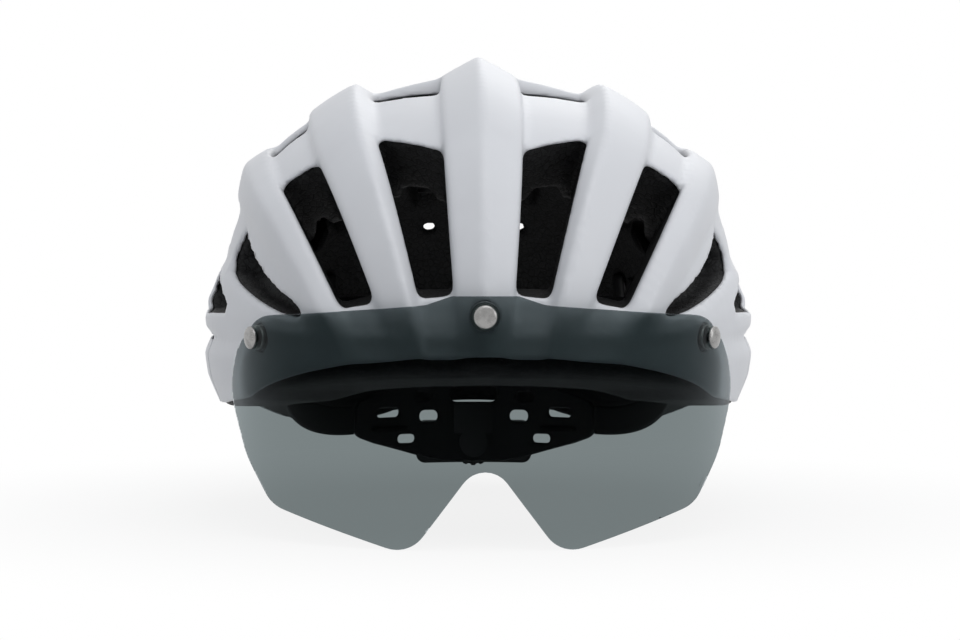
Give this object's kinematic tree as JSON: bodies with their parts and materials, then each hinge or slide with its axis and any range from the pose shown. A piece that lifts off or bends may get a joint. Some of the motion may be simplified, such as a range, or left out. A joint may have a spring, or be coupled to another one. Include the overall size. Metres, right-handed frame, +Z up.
{
  "type": "bicycle helmet",
  "caption": "Vented road-cycling helmet: white ribbed shell over black foam, with a smoke visor held by magnets, a dial-fit rear cradle and stowed chin strap.",
  "frame": {"origin": "the middle of the head opening, on the brow plane, where the head seats", "axes": "+Z up, the helmet faces -Y, +X is the wearer's left and the helmet's plane of symmetry is X = 0"},
  "size_m": [0.2202, 0.2944, 0.1814],
  "materials": {
    "shell_white": "matt moulded white skin",
    "shell_white_lower": "matt moulded white skin",
    "foam_black": "expanded foam beads",
    "lens_smoke": "clear smoke-grey polycarbonate",
    "rivet_metal": "polished",
    "magnet_metal": "nickel plated",
    "seat_dark": "dark plated",
    "pad_fabric": "black wicking knit",
    "hook_fabric": "hook tape",
    "black_plastic": "satin moulded",
    "band_plastic": "satin flexible nylon",
    "cradle_plastic": "satin flexible nylon",
    "knob_rubber": "soft-touch rubber",
    "gear_plastic": "acetal",
    "screw_steel": "zinc plated",
    "webbing": "woven polyester webbing",
    "buckle_plastic": "acetal",
    "tab_red": "plain red moulding"
  },
  "bodies": {
    "helmet": {"shell_upper": "shell_white", "shell_lower": "shell_white_lower", "liner": "foam_black", "seat_mid": "seat_dark", "seat_left": "seat_dark", "seat_right": "seat_dark", "brow_pad": "pad_fabric", "crown_pad_front": "pad_fabric", "crown_pad_rear": "pad_fabric", "side_pad_left": "pad_fabric", "side_pad_right": "pad_fabric", "hook_patches": "hook_fabric", "temple_plug_left": "black_plastic", "temple_plug_right": "black_plastic", "band_left": "band_plastic", "band_right": "band_plastic", "hanger": "band_plastic", "hanger_base": "black_plastic", "strap_front_left": "webbing", "strap_front_right": "webbing", "strap_rear_left": "webbing", "strap_rear_right": "webbing", "chin_strap_left": "webbing", "chin_strap_right": "webbing", "strap_anchors": "black_plastic", "divider_left": "black_plastic", "divider_right": "black_plastic", "buckle_female": "buckle_plastic", "strap_keeper": "buckle_plastic", "red_tab": "tab_red"},
    "visor": {"visor_lens": "lens_smoke", "rivet_mid": "rivet_metal", "rivet_left": "rivet_metal", "rivet_right": "rivet_metal", "magnet_mid": "magnet_metal", "magnet_left": "magnet_metal", "magnet_right": "magnet_metal"},
    "cradle": {"cradle": "cradle_plastic", "cradle_pads": "pad_fabric", "dial_housing": "black_plastic", "pinion_cap": "black_plastic"},
    "dial": {"dial_knob": "knob_rubber", "pinion": "gear_plastic", "dial_screw": "screw_steel"},
    "rack_upper": {"rack_upper": "gear_plastic"},
    "rack_lower": {"rack_lower": "gear_plastic"},
    "buckle_male": {"buckle_male": "buckle_plastic"}
  },
  "joints": [
    {"name": "visor_pull", "type": "slide", "parent": "helmet", "child": "visor", "axis": [0, -1, 0], "range_m": [0, 0.04]},
    {"name": "cradle_draw", "type": "slide", "parent": "helmet", "child": "cradle", "axis": [0, -1, 0], "range_m": [0, 0.012], "deforming": ["band_left", "band_right", "hanger"]},
    {"name": "dial_turn", "type": "hinge", "parent": "cradle", "child": "dial", "pos_m": [0, 0.111, -0.0575], "axis": [0, -1, 0], "range_deg": [0, 200]},
    {"name": "rack_upper_draw", "type": "slide", "parent": "cradle", "child": "rack_upper", "axis": [-1, 0, 0], "range_m": [-0.0005, 0.0121]},
    {"name": "rack_lower_draw", "type": "slide", "parent": "cradle", "child": "rack_lower", "axis": [1, 0, 0], "range_m": [-0.0005, 0.0121]},
    {"name": "buckle_release", "type": "slide", "parent": "helmet", "child": "buckle_male", "axis": [1, 0, 0], "range_m": [0, 0.014], "deforming": ["chin_strap_left"]}
  ],
  "couplings": [
    {"joint": "dial_turn", "follows": "cradle_draw", "rad_per_m": 290.7},
    {"joint": "rack_upper_draw", "follows": "cradle_draw", "ratio": 1},
    {"joint": "rack_lower_draw", "follows": "cradle_draw", "ratio": 1}
  ]
}
